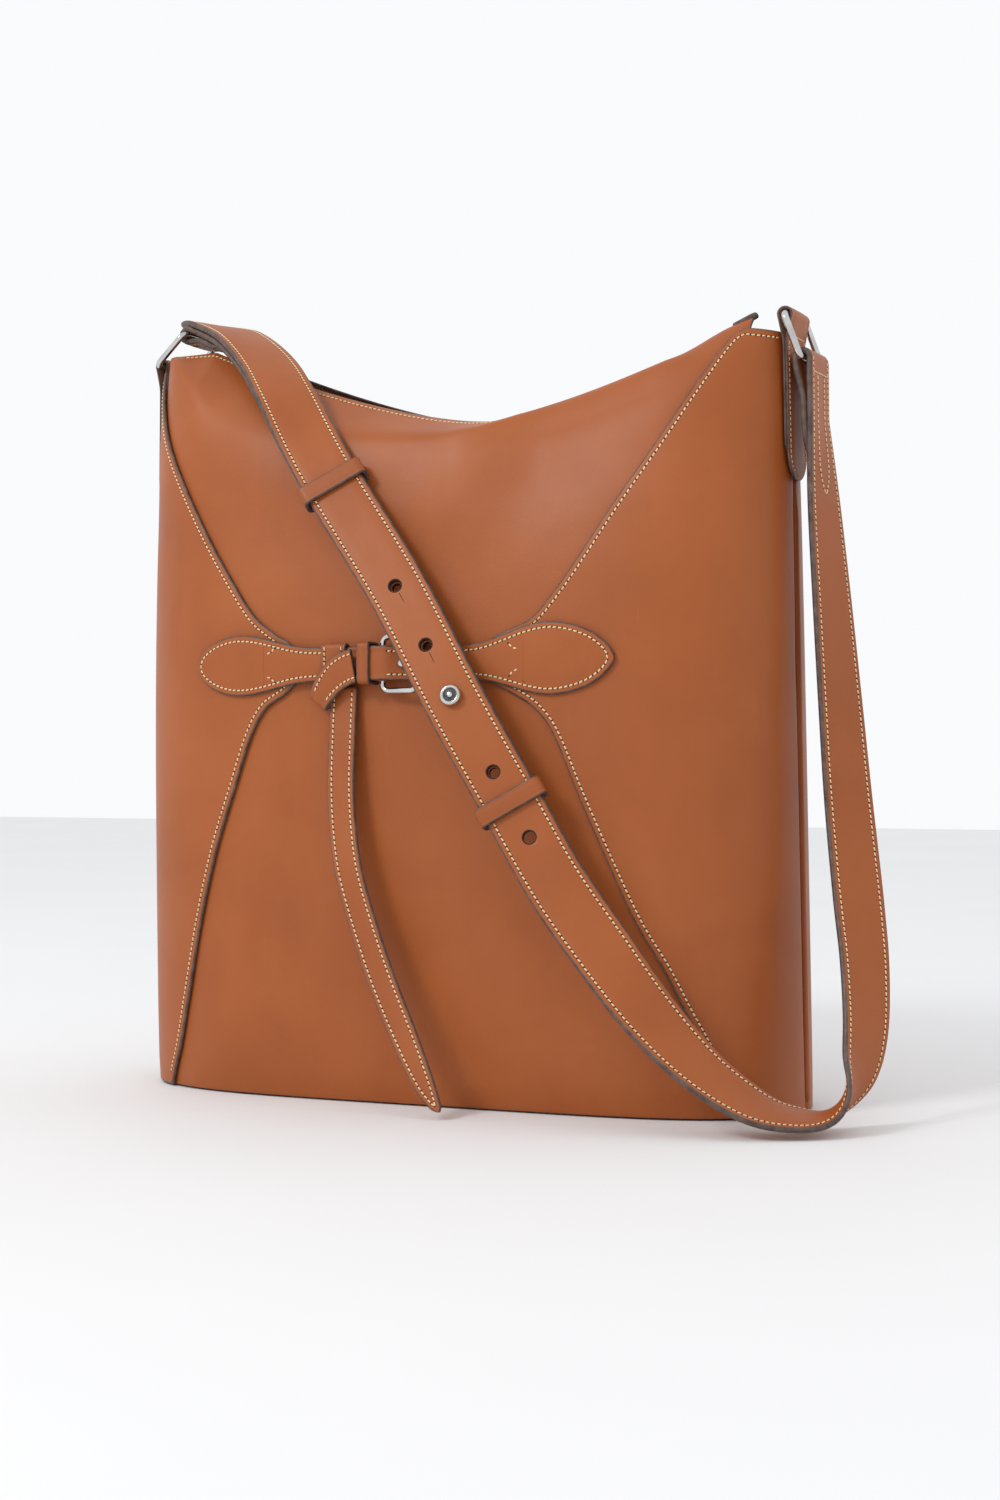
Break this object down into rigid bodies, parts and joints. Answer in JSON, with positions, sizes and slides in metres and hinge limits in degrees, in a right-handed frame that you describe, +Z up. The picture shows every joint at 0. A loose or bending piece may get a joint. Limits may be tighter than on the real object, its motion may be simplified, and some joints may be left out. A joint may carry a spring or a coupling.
{
  "type": "sling bag",
  "caption": "Slouchy leather sling bag: bucket body with belted front wings, hanging tie, buckle, side rings and a long adjustable shoulder strap.",
  "frame": {"origin": "middle of the underside of the bag's base, on the surface it stands on", "axes": "+Z up, -Y out of the belted front, +X towards the bag's right side as seen from the front"},
  "size_m": [0.3863, 0.1632, 0.3851],
  "materials": {
    "saddle_leather": "smooth full-grain saddle tan, satin, painted edges, cream stitching",
    "keeper_leather": "smooth saddle tan leather, slightly darker, painted edges",
    "tie_leather": "soft saddle tan leather, stitched edges",
    "suede_lining": "fine brushed lining, matt",
    "base_stiffener": "pressed fibre board, matt",
    "polished_steel": "bright nickel-plated, polished"
  },
  "bodies": {
    "bag": {"front_panel": "saddle_leather", "back_panel": "saddle_leather", "left_wing": "saddle_leather", "right_wing": "saddle_leather", "base_panel": "saddle_leather", "base_board": "base_stiffener", "lining": "suede_lining", "inner_pocket": "suede_lining", "snap_male": "polished_steel", "snap_female": "polished_steel", "left_tab": "saddle_leather", "right_tab": "saddle_leather", "belt_left_tab": "saddle_leather", "belt_right_strap": "saddle_leather", "belt_loop": "saddle_leather", "belt_keeper": "keeper_leather", "buckle_tab": "keeper_leather", "buckle_frame": "polished_steel", "tie_knot": "tie_leather", "tie_root": "tie_leather"},
    "ring_left": {"ring_left": "polished_steel"},
    "strap": {"long_strap": "saddle_leather", "short_strap": "saddle_leather", "stud_knob": "polished_steel", "stud_base": "polished_steel", "lower_keeper": "keeper_leather"},
    "ring_right": {"ring_right": "polished_steel"},
    "upper_keeper": {"upper_keeper": "keeper_leather"},
    "tie_tail": {"tie_tail": "tie_leather"},
    "buckle_prong": {"buckle_prong": "polished_steel"}
  },
  "joints": [
    {"name": "ring_left_swing", "type": "hinge", "parent": "bag", "child": "ring_left", "pos_m": [-0.16912, 0, 0.3615], "axis": [0, -1, 0], "range_deg": [0, 4]},
    {"name": "strap_on_left_ring", "type": "hinge", "parent": "ring_left", "child": "strap", "pos_m": [-0.15361, 0, 0.37638], "axis": [0, -1, 0], "range_deg": [-4.35, 0]},
    {"name": "ring_right_swing", "type": "hinge", "parent": "bag", "child": "ring_right", "pos_m": [0.16236, 0, 0.3645], "axis": [0, -1, 0], "range_deg": [-3.5, 0]},
    {"name": "upper_keeper_slide", "type": "slide", "parent": "strap", "child": "upper_keeper", "axis": [0.59, -0.16, -0.7914], "range_m": [0, 0.016]},
    {"name": "tie_tail_swing", "type": "hinge", "parent": "bag", "child": "tie_tail", "pos_m": [-0.0365, -0.0679, 0.1845], "axis": [-1, 0, 0], "range_deg": [0, 60]},
    {"name": "buckle_prong_lift", "type": "hinge", "parent": "bag", "child": "buckle_prong", "pos_m": [-0.0155, -0.06759, 0.206], "axis": [0, 0, -1], "range_deg": [0, 4]}
  ],
  "couplings": [
    {"joint": "strap_on_left_ring", "follows": "ring_left_swing", "ratio": -1.0663},
    {"joint": "ring_right_swing", "follows": "ring_left_swing", "ratio": -0.8578}
  ]
}
